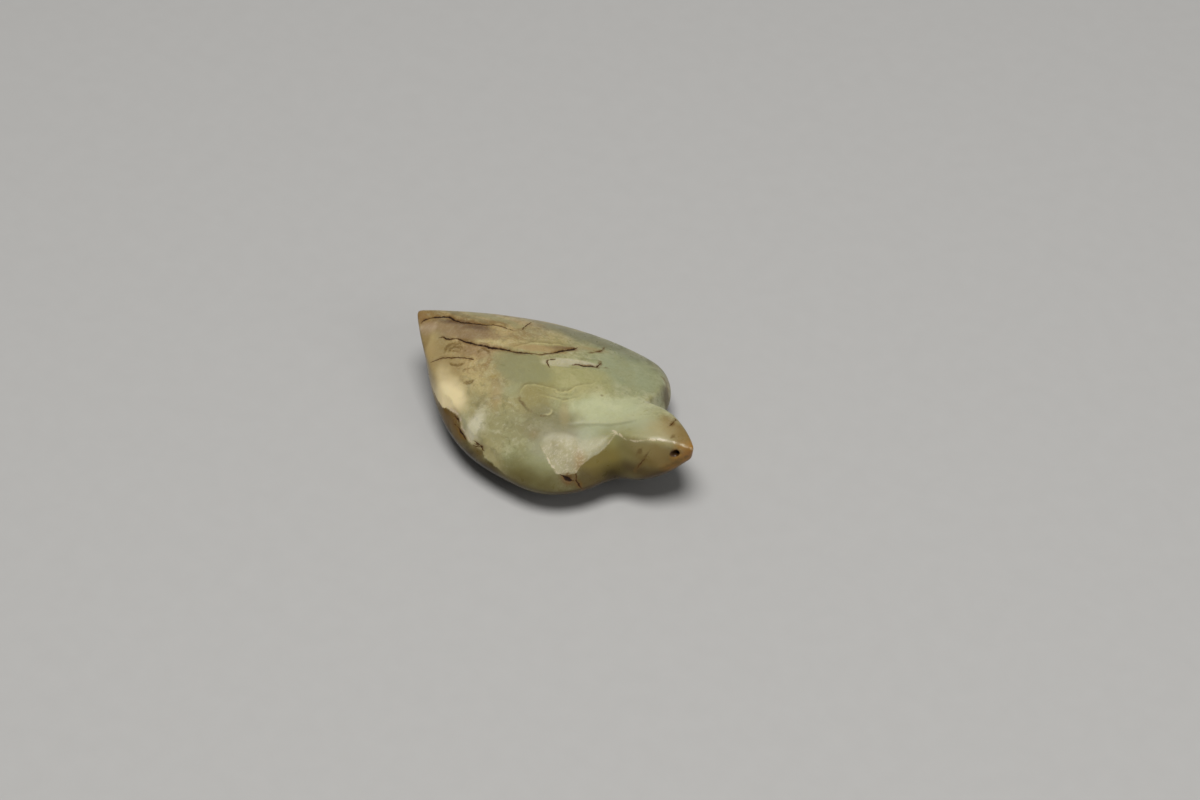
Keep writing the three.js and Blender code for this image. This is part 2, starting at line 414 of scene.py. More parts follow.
def addNode(tree, kind, inputs=None, **settings):
    node = tree.nodes.new(kind)
    for key, value in settings.items():
        setattr(node, key, value)
    for key, value in (inputs or {}).items():
        if isinstance(value, bpy.types.NodeSocket):
            tree.links.new(value, node.inputs[key])
        else:
            node.inputs[key].default_value = value
    return node


def mathNode(tree, operation, *values, clamp=False):
    inputs = dict(enumerate(values))
    return addNode(tree, "ShaderNodeMath", inputs, operation=operation, use_clamp=clamp).outputs[0]


def vectorNode(tree, operation, *values, output=0):
    inputs = dict(zip((0, "Scale") if operation == "SCALE" else (0, 1), values))
    return addNode(tree, "ShaderNodeVectorMath", inputs, operation=operation).outputs[output]


def smoothStep(tree, value, low, high, start=0.0, end=1.0):
    inputs = {0: value, 1: low, 2: high, 3: start, 4: end}
    return addNode(tree, "ShaderNodeMapRange", inputs, interpolation_type="SMOOTHSTEP").outputs[0]


def lineCurves(name, paths, tree):  # paths laid on the stone, their half width kept as the radius
    curve = bpy.data.curves.new(name, "CURVE")
    curve.dimensions = "3D"
    for path in paths.values():
        spline = curve.splines.new("POLY")
        spline.points.add(len(path) - 1)
        for point, (x, y, halfWidth) in zip(spline.points, path):
            point.co = (*onStone(tree, x, y)[0], 1)
            point.radius = halfWidth
    thing = bpy.data.objects.new(name, curve)
    scene.collection.objects.link(thing)
    return thing


def lineTree(kind):  # sinks a groove along the lines and keeps the distance to them for the finish
    tree = bpy.data.node_groups.new(kind, "GeometryNodeTree")
    face = tree.interface
    face.new_socket("Geometry", in_out="INPUT", socket_type="NodeSocketGeometry")
    face.new_socket("Lines", in_out="INPUT", socket_type="NodeSocketObject")
    for name in settingNames:
        face.new_socket(name, in_out="INPUT", socket_type="NodeSocketFloat")
    face.new_socket("Material", in_out="INPUT", socket_type="NodeSocketMaterial")
    face.new_socket("Geometry", in_out="OUTPUT", socket_type="NodeSocketGeometry")
    given = addNode(tree, "NodeGroupInput").outputs
    calc, vector, soft = (partial(make, tree) for make in (mathNode, vectorNode, smoothStep))

    lineObject = addNode(tree, "GeometryNodeObjectInfo", {"Object": given["Lines"]})
    dots = addNode(
        tree, "GeometryNodeCurveToPoints",
        {"Curve": lineObject.outputs["Geometry"], "Length": lineStep}, mode="LENGTH").outputs
    position = addNode(tree, "GeometryNodeInputPosition").outputs[0]
    normal = addNode(tree, "GeometryNodeInputNormal").outputs[0]
    radius = addNode(
        tree, "GeometryNodeInputNamedAttribute", {"Name": "radius"}, data_type="FLOAT").outputs[0]
    waves = calc("DIVIDE", 1.0, given["Wobble size"])
    drift = addNode(
        tree, "ShaderNodeTexNoise",
        {"Vector": position, "W": given["Seed"], "Scale": waves, "Detail": 3.0},
        noise_dimensions="4D").outputs["Color"]
    centred = vector("SUBTRACT", drift, (0.5, 0.5, 0.5))
    shift = vector("SCALE", centred, calc("MULTIPLY", given["Wobble"], 2.0))
    shifted = vector("ADD", position, shift)
    nearest = addNode(
        tree, "GeometryNodeSampleNearest", {"Geometry": dots[0], "Sample Position": shifted},
        domain="POINT").outputs[0]

    def sampled(value, kindOfData):
        return addNode(
            tree, "GeometryNodeSampleIndex", {"Geometry": dots[0], "Value": value, "Index": nearest},
            data_type=kindOfData, domain="POINT").outputs[0]

    away = vector("SUBTRACT", shifted, sampled(position, "FLOAT_VECTOR"))
    sideways = vector("CROSS_PRODUCT", sampled(dots["Tangent"], "FLOAT_VECTOR"), normal)
    side = vector("DOT_PRODUCT", sideways, away, output="Value")
    distance = vector("LENGTH", away, output="Value")
    halfWidth = sampled(radius, "FLOAT")
    reach = calc("ADD", calc("MULTIPLY", halfWidth, given["Groove reach"]), given["Least reach"])
    profile = soft(distance, 0.0, reach, 1.0, 0.0)
    depth = calc("MULTIPLY", calc("MULTIPLY", profile, halfWidth), given["Groove depth"])
    geometry = given["Geometry"]
    for label, value in (("Side", side), ("Away", distance), ("Width", halfWidth)):
        geometry = addNode(
            tree, "GeometryNodeStoreNamedAttribute",
            {"Geometry": geometry, "Name": kind + label, "Value": value},
            data_type="FLOAT", domain="POINT").outputs[0]
    lowering = vector("SCALE", normal, calc("MULTIPLY", depth, -1.0))
    sunk = addNode(
        tree, "GeometryNodeSetPosition", {"Geometry": geometry, "Offset": lowering}).outputs[0]
    whole = addNode(tree, "GeometryNodeRealizeInstances", {"Geometry": sunk}).outputs[0]
    dressed = {"Geometry": whole, "Material": given["Material"]}
    finished = addNode(tree, "GeometryNodeSetMaterial", dressed).outputs[0]
    addNode(tree, "NodeGroupOutput", {"Geometry": finished})
    return tree


def setInput(modifier, name, value):
    sockets = modifier.node_group.interface.items_tree
    socket = next(s for s in sockets if s.name == name and s.in_out == "INPUT")
    modifier[socket.identifier] = value


def sinkLines(kind, material):
    curves = lineCurves(kind, lines[kind], skin)
    modifier = stone.modifiers.new(kind, "NODES")
    modifier.node_group = lineTree(kind)
    setInput(modifier, "Lines", curves)
    setInput(modifier, "Material", material)
    for name, value in zip(settingNames, lineSettings[kind]):
        setInput(modifier, name, value)
    replaceMesh(stone)
    bpy.data.objects.remove(curves)


# Jade finish

def fromSrgb(red, green, blue):
    parts = [v / 255 for v in (red, green, blue)]
    return (*[v / 12.92 if v <= 0.04045 else ((v + 0.055) / 1.055) ** 2.4 for v in parts], 1)


jade = {
    "celadon": (165, 165, 121),
    "paleCloud": (194, 190, 148),
    "darkCloud": (128, 124, 80),
    "oliveCloud": (160, 148, 92),
    "tan": (192, 168, 116),
    "tanPale": (206, 188, 134),
    "tanDark": (152, 124, 76),
    "flankOliveAndShade": (70, 54, 14),
    "flankPaintedShade": (40, 30, 6),
    "crackBlack": (40, 24, 12),
    "crackBrown": (84, 56, 24),
    "stainBrown": (118, 86, 40),
    "veinBrown": (114, 88, 40),
    "scrollPale": (204, 194, 138),
    "scrollShade": (120, 108, 58),
    "edgeHighlight": (228, 214, 182),
    "rimPinkHighlight": (214, 194, 172),
    "grainPale": (226, 216, 190),
    "tanSpan": (4.0, -15.0),  # along the bird, from none of the tan to all of it
    "cloudSize": 5.0,  # millimetres, like every size below
    "oliveSize": 7.0,
    "wispSize": 2.2,
    "mottleSize": 1.3,
    "fluffSize": 0.9,
    "speckSize": 0.6,
    "gritSize": 0.35,
    "ringSize": 7.0,
    "rings": 9.0,
    "driftSize": 4.0,
    "drift": 1.5,
    "raggedSize": 0.5,
    "raggedness": 0.55,
    "grainSize": 0.34,
    "grainTurn": 50,  # degrees
    "grainHeight": (0.004, 0.05),  # everywhere and on top of it where frosted
    "dimpleSize": 0.8,
    "dimpleHeight": 0.012,
    "bump": 0.8,
    "roughness": (0.27, 0.38),
    "frostRoughness": 0.3,
    "ior": 1.55,
    "specular": 0.28,
    "glow": 0.45,
    "glowColour": (1.0, 0.85, 0.45),
    "glowDepth": 1.2,
}


# A tinted place: its pixel, its reach along, across and up in millimetres, the turn of the first of
# them in degrees, the colour and its share. The edge is its softness, and a crisp one follows little
# of the drift. The layers within and beyond lie over the others, on one side of the borders each.
# The marks frost, fluffy and matte tell how much of that finish the place has.
def tint(at, reach, turn, colour, share, edge=0.45, crisp=False, layer="anywhere", **marks):
    return {
        "at": at, "reach": reach, "turn": turn, "colour": colour, "share": share,
        "edge": edge, "crisp": crisp, "layer": layer, **marks,
    }


tints = {
    "farBand": tint((604, 344), (15, 2.6, 4), 10, (115, 117, 92), 0.65),
    # painted shade along the far rim near the tail, where it turns away from the light
    "farRimTailShade": tint((455, 312), (9, 0.9, 3), 0, (130, 120, 84), 0.6),
    # painted highlight along the far rim
    "farRimHighlight": tint((492, 317), (8, 1.4, 3), 6, (164, 156, 112), 0.7),
    "shoulderGrey": tint((628, 372), (7, 5, 4), 0, (161, 167, 133), 0.65),
    "napeLight": tint((612, 411), (8.5, 4, 4), 32, (204, 206, 164), 0.75),
    "neckGrey": tint((607, 429.5), (8, 1.7, 3), 33, (177, 181, 149), 0.7),
    "neckPale": tint((640, 426), (3.4, 2.6, 3), 10, (190, 192, 156), 0.7, edge=0.6),
    "swirlGround": tint((572, 380), (7, 4, 3), 30, (178, 171, 116), 0.65),
    "loopGround": tint((535, 398), (4, 4, 3), 20, (155, 143, 91), 0.6),
    "midGreen": tint((523, 368), (5.6, 3.8, 3), 15, (151, 149, 108), 0.8, edge=0.25),
    "midStripe": tint((491.5, 377), (0.5, 1.2, 2), -30, (158, 136, 72), 0.4, edge=0.7, crisp=True),
    "tipBrown": tint((566, 438), (2.0, 1.6, 2), 30, (168, 150, 104), 0.5),
    "mauveBand": tint((456, 330), (9, 2, 3), 22, (147, 122, 91), 0.75, frost=0.3),
    "mauveLow": tint((480, 351), (4, 1.5, 2), 22, (160, 132, 98), 0.6, frost=0.2),
    "tailGrey": tint((436, 342), (3.4, 2.2, 3), 10, (158, 142, 96), 0.6),
    "tailPink": tint((426.5, 328), (1.5, 1.2, 2), 20, (212, 190, 162), 0.75, edge=0.8, frost=0.4),
    "tailTan": tint((440, 374), (6, 5, 4), 0, (168, 147, 100), 0.8),
    "tailEdge": tint((429, 350), (3, 1.6, 3), -60, (188, 164, 114), 0.6, edge=0.7),
    # painted highlight: a warm bright spot on the near rim
    "warmRimHighlight": tint((445, 397), (5, 3.4, 3), -50, (252, 234, 184), 0.85, edge=0.6, layer="within"),
    "rimGrey": tint((470, 399), (3.2, 1.5, 3), 0, (156, 146, 104), 0.6, edge=0.8),
    "rimGreen": tint((463, 410), (1.6, 1.6, 3), 0, (158, 152, 106), 0.6, edge=0.6),
    "cloudWhite": tint(
        (476, 423), (1.7, 2.8, 3), 10, (218, 212, 182), 0.8, edge=0.6, layer="within", frost=0.8),
    "rimCloud": tint(
        (465, 424), (0.8, 1.8, 2), 25, (168, 166, 134), 0.7, edge=0.6, layer="within", frost=0.4),
    "cloudLow": tint((488, 436), (3, 2.4, 3), 40, (173, 164, 120), 0.6, edge=0.6),
    "cloudPale": tint((500, 428), (5, 3, 3), 20, (160, 154, 111), 0.65),
    "midOlive": tint((548, 430), (6, 5, 3), 25, (134, 126, 86), 0.8),
    "midFluff": tint((497, 420), (8, 4.6, 4), -15, (160, 152, 106), 0.3, edge=0.6, fluffy=3.2),
    "midBrown": tint((533.5, 435), (0.8, 0.9, 2), 0, (144, 120, 66), 0.5, edge=0.8, crisp=True),
    "midPink": tint((498, 395), (0.8, 1.1, 2), 30, (196, 178, 136), 0.6, edge=0.8, crisp=True),
    "midTan": tint((495, 397), (3, 1, 2), -55, (172, 149, 102), 0.5, edge=0.6, crisp=True),
    "scrollTan": tint((564, 412), (2.4, 0.8, 2), -55, (178, 158, 108), 0.45, edge=0.7, crisp=True),
    "loopShade": tint((523.8, 404.8), (1.5, 0.17, 1.5), -17, (98, 92, 52), 0.65, edge=0.6, crisp=True),
    "midCloud": tint((511, 391), (1.5, 1.9, 2), 30, (164, 164, 124), 0.6, edge=0.6),
    "rimPale": tint((491, 456), (5, 1.3, 2), -25, (178, 166, 118), 0.65, edge=0.6, layer="within"),
    "peachLens": tint((538, 348.3), (5.0, 0.95, 2), 28, (182, 156, 110), 0.75, edge=0.3, crisp=True),
    "lensBrown": tint((564, 348), (2.6, 0.6, 1.5), 38, (122, 90, 62), 0.7, edge=0.9, crisp=True),
    "backEndTan": tint((592, 349.5), (2.6, 0.7, 1.5), 34, (174, 154, 108), 0.6, edge=0.7, crisp=True),
    "scarLeft": tint(
        (555, 363.3), (2.4, 0.85, 1.5), 33, (196, 188, 150), 0.85, edge=0.25, crisp=True, frost=0.5),
    "scarWhite": tint(
        (576, 363), (4.4, 0.7, 1.5), 33, (194, 187, 156), 0.9, edge=0.2, crisp=True, frost=0.5),
    "wingTipWhite": tint(
        (566, 460), (5, 3.6, 3), 10, (186, 178, 142), 0.9, edge=0.25, layer="within", frost=1.0),
    "wingTipEdge": tint((594, 447), (4, 1.8, 2), 60, (190, 185, 152), 0.85, layer="within", frost=0.5),
    "tipTan": tint(
        (580, 462), (1.1, 1.8, 2), 40, (166, 128, 68), 0.55, edge=0.8, crisp=True, layer="within"),
    "tipPale": tint(
        (562, 441), (2.6, 1.4, 2), 30, (208, 202, 170), 0.5, edge=0.6, layer="within", frost=0.4),
    "tipGrey": tint((556, 448), (1.8, 0.8, 2), -50, (148, 138, 100), 0.45, edge=0.7, layer="within"),
    "tipGreyLow": tint((567, 463), (1.3, 0.9, 2), 20, (164, 152, 120), 0.5, edge=0.7, layer="within"),
    "smoothGreen": tint((531, 466), (5.5, 4, 4), 0, (149, 147, 103), 0.85),
    "lowSpot": tint((517, 469), (1.8, 1.6, 2), 0, (116, 102, 50), 0.45, edge=0.9),
    "lowOlive": tint((540, 489), (10, 2.5, 3), 10, (90, 74, 28), 0.75, edge=0.8),
    "breastOlive": tint((592, 479), (5, 3, 3.5), 40, (85, 65, 24), 0.85, edge=0.6),
    "throatOlive": tint((620, 464), (5, 4, 2.6), 0, (116, 95, 42), 0.85, edge=0.7, crisp=True),
    "valley": tint((622, 449), (4.8, 4, 3.4), 0, (152, 143, 86), 0.9, edge=0.6),
    "wingFace": tint((599, 460), (4.5, 1.8, 3), 50, (136, 121, 65), 0.9, edge=0.5, layer="beyond"),
    # painted shade in the corner between the wing's front face and the throat
    "throatCornerShade": tint(
        (613.5, 474), (2.8, 2.3, 1.6), 0, (48, 35, 7), 0.88, edge=0.85, crisp=True, layer="beyond"),
    "cheek": tint((661, 460), (5.6, 3.6, 2.8), 0, (117, 93, 40), 0.9, edge=0.6, crisp=True),
    "cheekHigh": tint((645, 448.5), (3.2, 2, 1.3), 0, (160, 144, 91), 0.75, edge=0.7, crisp=True),
    "cheekPale": tint((660, 456), (2.4, 2, 1.6), 0, (150, 128, 76), 0.6, edge=0.7),
    "jaw": tint((652, 474), (9, 3, 1.2), 0, (76, 56, 16), 0.85, edge=0.7, crisp=True),
    "jawGlow": tint((672, 467), (4.4, 1.6, 0.9), -40, (146, 104, 38), 0.7, edge=0.7, crisp=True),
    "beakTip": tint((691, 452), (2.4, 2.4, 2.2), 0, (178, 120, 40), 0.8, edge=0.6),
    "crownTan": tint((679, 430), (3.6, 2.8, 3), 0, (142, 114, 65), 0.85, edge=0.6),
    "crownGreen": tint((660, 431), (3, 2.4, 2), 0, (178, 164, 118), 0.7, edge=0.7),
    "farFront": tint((668, 388), (0.9, 2.6, 3), 35, (150, 122, 66), 0.55, edge=0.8),
    # olive stain and painted shade where the far shoulder turns away
    "farOliveAndShade": tint((666.5, 401), (1.5, 2.0, 3), 35, (86, 71, 12), 0.9),
    "tailTip": tint((420, 315), (1.5, 1.5, 3), 0, (134, 100, 56), 0.75, edge=0.7),
    "tailRim": tint((424, 335), (1.1, 4, 3), 20, (136, 108, 62), 0.5),
    "chipBrown": tint((455, 421), (0.9, 1.6, 1.2), 25, (104, 74, 50), 0.6, edge=0.7),
    "chipOchre": tint((458, 432), (1.6, 2, 1.4), 25, (120, 92, 40), 0.6, edge=0.7),
    "flankTan": tint((449, 413), (2.2, 3, 2.2), 0, (120, 92, 46), 0.6, edge=0.7),
    "chipBrownLow": tint((480, 450), (0.9, 1.6, 1.2), 40, (98, 74, 30), 0.55, edge=0.6),
    "crackShade": tint((453, 321.5), (2.8, 0.6, 1.5), 26, (92, 70, 58), 0.7, edge=0.7, crisp=True),
    "crackShadeLow": tint((478, 327.5), (2.8, 0.7, 1.5), 24, (100, 78, 60), 0.65, edge=0.8, crisp=True),
    "pit": tint((567, 478.6), (1.3, 0.9, 1.4), 20, (100, 70, 32), 0.6, edge=0.6, crisp=True, matte=0.4),
}

# How the tints wander from their ovals: the size of the waves and how far they reach, how much of it
# a crisp tint follows, and the seed, as noise_vector draws its offsets from the clock without one
tintDrift = {"size": 4.0, "strength": 1.3, "crisp": 0.2, "seed": 52}

# The hole is darker brown inside and round its mouth
holeBrown = {"centre": (27.5, 0, 12.4), "reach": (0.72, 9, 0.68), "colour": (74, 48, 18)}


def jadeFinish():
    material = bpy.data.materials.new("jade")
    material.use_nodes = True
    tree = material.node_tree
    tree.nodes.clear()

    calc, vector, soft = (partial(make, tree) for make in (mathNode, vectorNode, smoothStep))

    def plus(value, other):
        return calc("ADD", value, other)

    def times(value, *others):
        for other in others:
            value = calc("MULTIPLY", value, other)
        return value

    def larger(value, other):
        return calc("MAXIMUM", value, other)

    def blend(factor, under, over):
        colours = {6: under, 7: over}
        for slot, colour in colours.items():
            if isinstance(colour, tuple) and len(colour) == 3:
                colours[slot] = fromSrgb(*colour)
        return addNode(tree, "ShaderNodeMix", {0: factor, **colours}, data_type="RGBA").outputs[2]

    def cloud(at, size, detail=3.0, roughness=0.55, distortion=0.0, output=0):
        inputs = {"Vector": at, "Scale": 1 / size, "Detail": detail, "Roughness": roughness}
        inputs["Distortion"] = distortion
        return addNode(tree, "ShaderNodeTexNoise", inputs).outputs[output]

    def mapping(inputs, kind="POINT"):
        return addNode(tree, "ShaderNodeMapping", inputs, vector_type=kind).outputs[0]

    def kept(name):
        return addNode(tree, "ShaderNodeAttribute", attribute_name=name).outputs["Fac"]

    place = addNode(tree, "ShaderNodeTexCoord").outputs["Object"]
    inMm = mapping({"Vector": place, "Scale": (1 / mm, 1 / mm, 1 / mm)})
    driftColour = cloud(inMm, jade["driftSize"], 4.0, output=1)
    drift = vector("SUBTRACT", driftColour, (0.5, 0.5, 0.5))
    drift = vector("SCALE", drift, 2 * jade["drift"])
    drifted = vector("ADD", inMm, drift)
    axes = addNode(tree, "ShaderNodeSeparateXYZ", {0: drifted}).outputs

    # body colour: celadon towards the head, tan towards the tail, clouds in both
    clouds = cloud(inMm, jade["cloudSize"], 5.0, 0.6, 0.6)
    olives = cloud(inMm, jade["oliveSize"], 4.0, 0.55, 0.4, output=1)
    olives = addNode(tree, "ShaderNodeSeparateColor", {0: olives}).outputs[1]
    mottle = cloud(inMm, jade["mottleSize"], 4.0, 0.6, 0.4)
    greenBody = blend(soft(clouds, 0.46, 0.62), jade["celadon"], jade["paleCloud"])
    greenBody = blend(soft(olives, 0.5, 0.64, 0.0, 0.7), greenBody, jade["oliveCloud"])
    greenBody = blend(soft(mottle, 0.52, 0.66, 0.0, 0.5), greenBody, jade["darkCloud"])
    tanBody = blend(soft(clouds, 0.44, 0.6), jade["tan"], jade["tanDark"])
    tanBody = blend(soft(olives, 0.48, 0.62, 0.0, 0.8), tanBody, jade["tanPale"])
    tanShare = soft(axes[0], *jade["tanSpan"])
    body = blend(tanShare, greenBody, tanBody)

    # growth lines in the tan part, as contour lines of a slow noise
    rings = calc("FRACT", times(cloud(drifted, jade["ringSize"], 1.0), jade["rings"]))
    ringLine = soft(calc("ABSOLUTE", calc("SUBTRACT", rings, 0.5)), 0.16, 0.02)
    ringShare = times(tanShare, soft(mottle, 0.35, 0.65, 0.1, 0.5), ringLine)
    body = blend(ringShare, body, jade["tanDark"])

    # small pale fluffs and dark specks
    fluff = cloud(inMm, jade["fluffSize"], 3.0, 0.65, 0.5)
    wisps = cloud(inMm, jade["wispSize"], 5.0, 0.62, 1.2)
    body = blend(soft(wisps, 0.52, 0.62, 0.0, 0.3), body, jade["paleCloud"])
    body = blend(soft(wisps, 0.47, 0.38, 0.0, 0.32), body, jade["darkCloud"])
    body = blend(soft(fluff, 0.56, 0.7, 0.0, 0.35), body, jade["paleCloud"])
    grit = cloud(inMm, jade["gritSize"], 2.0, 0.6)
    body = blend(soft(grit, 0.52, 0.68, 0.0, 0.2), body, jade["grainPale"])
    body = blend(soft(grit, 0.46, 0.32, 0.0, 0.2), body, jade["darkCloud"])
    specks = cloud(inMm, jade["speckSize"], 1.0, 0.5)
    body = blend(soft(specks, 0.69, 0.75, 0.0, 0.5), body, jade["tanDark"])

    # olive brown skin on the flanks and under the belly, up to the near rim, with painted shade where the
    # skin faces down
    wander = times(calc("SUBTRACT", cloud(inMm, jade["raggedSize"], 4.0, 0.65), 0.5), jade["raggedness"])
    rimSide = plus(kept("rimSide"), wander)
    rimAway = kept("rimAway")
    rimClear = soft(kept("rimWidth"), 0.01, 0.08, 0.5, 1.0)
    outside = times(rimClear, soft(rimAway, 7.0, 4.0), soft(rimSide, 0.05, -0.3))
    upness = kept("upness")
    ragged = times(calc("SUBTRACT", clouds, 0.5), 0.5)
    # painted shade: skin that faces down is turned olive brown
    facingDownShade = soft(plus(upness, ragged), 0.3, -0.25)
    facingDownShade = times(facingDownShade, larger(soft(rimSide, 0.3, -0.2), soft(rimAway, 3.5, 6.0)))
    brown = times(larger(facingDownShade, outside), soft(clouds, 0.3, 0.6, 0.75, 0.97))
    body = blend(brown, body, jade["flankOliveAndShade"])
    # painted shade: darker still the more the skin faces down
    body = blend(soft(upness, 0.3, -0.5, 0.0, 0.9), body, jade["flankPaintedShade"])
    edgeSide = plus(kept("bordersSide"), times(wander, 0.45))
    edgeAway = kept("bordersAway")
    inside = times(
        larger(soft(edgeSide, -0.08, 0.1), soft(edgeAway, 6.0, 9.0)),
        larger(soft(rimSide, -0.2, 0.1), soft(rimAway, 5.0, 8.0)))
    beyond = soft(edgeSide, 0.06, -0.12)

    # tinted places, with the brown of the drilled hole
    for layer, mask in (("anywhere", 1.0), ("within", inside), ("beyond", beyond)):
        colour = addNode(tree, "ShaderNodeAttribute", attribute_name=layer + "Tint").outputs["Color"]
        body = blend(times(kept(layer + "Cover"), mask), body, colour)
    frosted = kept("frost")
    fluffy = kept("fluffy")
    hole = {"Vector": inMm, "Location": holeBrown["centre"], "Scale": holeBrown["reach"]}
    fromHole = vector("LENGTH", mapping(hole, "TEXTURE"), output="Value")
    body = blend(soft(fromHole, 1.15, 0.85), body, holeBrown["colour"])

    # fluffy places hold small pale and dark clouds
    body = blend(times(fluffy, soft(wisps, 0.48, 0.36, 0.0, 0.4)), body, jade["darkCloud"])
    body = blend(times(fluffy, soft(wisps, 0.52, 0.66, 0.0, 0.35)), body, jade["paleCloud"])
    body = blend(times(fluffy, soft(fluff, 0.5, 0.7, 0.0, 0.24)), body, jade["grainPale"])

    # frosted places are broken up by paler grains, a little longer one way
    turn = (0, 0, math.radians(jade["grainTurn"]))
    streaked = mapping({"Vector": inMm, "Rotation": turn, "Scale": (1.0, 0.4, 1.0)})
    grain = cloud(streaked, jade["grainSize"], 4.0, 0.65, 0.4)
    pale = times(frosted, soft(upness, 0.2, 0.5))
    body = blend(times(pale, soft(grain, 0.48, 0.66, 0.0, 0.45)), body, jade["grainPale"])
    body = blend(times(pale, soft(mottle, 0.5, 0.62, 0.0, 0.25)), body, jade["oliveCloud"])

    # painted highlights: pale lines along the edges between polished faces, broken into patches
    highlightBreaks = soft(fluff, 0.4, 0.58, 0.1, 1.0)
    edgeWidth = kept("bordersWidth")
    fromEdge = calc("ABSOLUTE", edgeSide)
    edgeHighlightLine = soft(fromEdge, plus(times(edgeWidth, 1.4), 0.07), times(edgeWidth, 0.3))
    edgeHighlightLine = times(edgeHighlightLine, soft(edgeAway, 0.9, 0.5), soft(edgeWidth, 0.04, 0.18, 0.0, 0.8))
    body = blend(times(edgeHighlightLine, highlightBreaks), body, jade["edgeHighlight"])
    # painted highlight: a pinkish pale line along the near rim
    rimWidth = kept("rimWidth")
    fromRim = calc("ABSOLUTE", calc("SUBTRACT", rimSide, 0.25))
    rimHighlightLine = soft(fromRim, times(rimWidth, 1.3), times(rimWidth, 0.2))
    rimHighlightLine = times(rimHighlightLine, soft(rimAway, 1.2, 0.7), soft(rimWidth, 0.05, 0.16, 0.0, 0.9))
    body = blend(times(rimHighlightLine, highlightBreaks), body, jade["rimPinkHighlight"])

    # the crease of the nape: painted shade, dark green, along the crease under a paler band of painted
    # highlight
    creaseSide = plus(kept("creasesSide"), times(wander, 0.3))
    creaseShare = times(soft(kept("creasesWidth"), 0.15, 0.7), soft(kept("creasesAway"), 1.2, 0.3))
    creaseShare = times(creaseShare, soft(upness, 0.4, 0.7))
    creaseShadeLine = soft(calc("ABSOLUTE", creaseSide), 0.6, 0.05, 0.0, 0.35)
    body = blend(times(creaseShadeLine, creaseShare), body, jade["darkCloud"])
    creaseHighlight = soft(creaseSide, -0.1, -0.35, 0.0, 0.4)
    body = blend(times(creaseHighlight, creaseShare), body, jade["paleCloud"])

    # brown veins and pale scrolls
    veinWidth = times(kept("veinsWidth"), soft(mottle, 0.3, 0.65, 0.5, 1.6))
    veinAway = plus(kept("veinsAway"), times(wander, 0.25))
    vein = soft(veinAway, plus(times(veinWidth, 2.2), 0.1), times(veinWidth, 0.3))
    vein = times(vein, soft(veinWidth, 0.02, 0.18, 0.0, 0.8))
    body = blend(times(vein, soft(fluff, 0.35, 0.55, 0.45, 1.0)), body, jade["veinBrown"])
    scrollSide = plus(kept("scrollsSide"), times(wander, 0.4))
    scrollAway = kept("scrollsAway")
    scrollShare = times(soft(kept("scrollsWidth"), 0.02, 0.16), soft(mottle, 0.32, 0.55, 0.3, 1.0))
    palest = times(soft(scrollAway, 0.5, 0.1, 0.0, 0.55), soft(scrollSide, -0.2, 0.05))
    shade = times(soft(scrollAway, 1.0, 0.2, 0.0, 0.45), soft(scrollSide, 0.02, -0.25))
    body = blend(times(palest, scrollShare), body, jade["scrollPale"])
    body = blend(times(shade, scrollShare), body, jade["scrollShade"])

    # cracks: a dark line of uneven width with a brown stain about it
    width = times(kept("cracksWidth"), soft(mottle, 0.3, 0.65, 0.7, 1.5))
    away = kept("cracksAway")
    crackSide = calc("ABSOLUTE", plus(kept("cracksSide"), times(wander, 0.6)))
    crackSide = larger(crackSide, calc("SUBTRACT", away, 0.2))
    core = soft(crackSide, plus(times(width, 1.15), 0.05), times(width, 0.6))
    core = times(core, soft(width, 0.02, 0.08))
    stain = times(soft(away, plus(times(width, 3.6), 0.25), 0.0), soft(width, 0.03, 0.14))
    stain = times(stain, soft(fluff, 0.35, 0.6, 0.35, 1.0))
    body = blend(stain, body, jade["stainBrown"])
    body = blend(core, body, jade["crackBrown"])
    depth = times(soft(crackSide, width, times(width, 0.3)), soft(width, 0.08, 0.18))
    body = blend(depth, body, jade["crackBlack"])

    smoothest, dullest = jade["roughness"]
    roughness = plus(times(frosted, jade["frostRoughness"]), soft(mottle, 0.3, 0.7, smoothest, dullest))
    roughness = calc("ADD", roughness, larger(times(core, 0.6), kept("matte")), clamp=True)
    least, frostHeight = jade["grainHeight"]
    grainHeight = times(grain, plus(times(frosted, frostHeight), least))
    height = plus(grainHeight, times(cloud(inMm, jade["dimpleSize"], 3.0), jade["dimpleHeight"]))
    bump = {"Strength": jade["bump"], "Distance": mm, "Height": height}
    bump = addNode(tree, "ShaderNodeBump", bump).outputs[0]

    shader = addNode(
        tree, "ShaderNodeBsdfPrincipled",
        {
            "Base Color": body,
            "Roughness": roughness,
            "Normal": bump,
            "IOR": jade["ior"],
            "Specular IOR Level": jade["specular"],
            "Subsurface Weight": jade["glow"],
            "Subsurface Radius": jade["glowColour"],
            "Subsurface Scale": jade["glowDepth"] * mm,
        })
    addNode(tree, "ShaderNodeOutputMaterial", {"Surface": shader.outputs[0]})
    return material


skin = stoneTree()
jadeMaterial = jadeFinish()
keepValues("upness", readVertices("normal")[:, 2])  # how far the broad skin faces up
for kindOfLine in ("creases", "rim", "borders", "veins", "scrolls", "cracks"):
    sinkLines(kindOfLine, jadeMaterial)
    print(kindOfLine, "sunk")


def readKept(name):
    values = np.empty(len(stone.data.vertices))
    stone.data.attributes[name].data.foreach_get("value", values)
    return values


def keepColours(name, colours):
    attribute = stone.data.attributes.new(name, "FLOAT_COLOR", "POINT")
    opaque = np.ones((len(colours), 4), dtype=np.float32)
    opaque[:, :3] = colours
    attribute.data.foreach_set("color", opaque.ravel())


def eased(value, low, high):  # smooth step from low to high
    share = np.clip((value - low) / (high - low), 0, 1)
    return share * share * (3 - 2 * share)


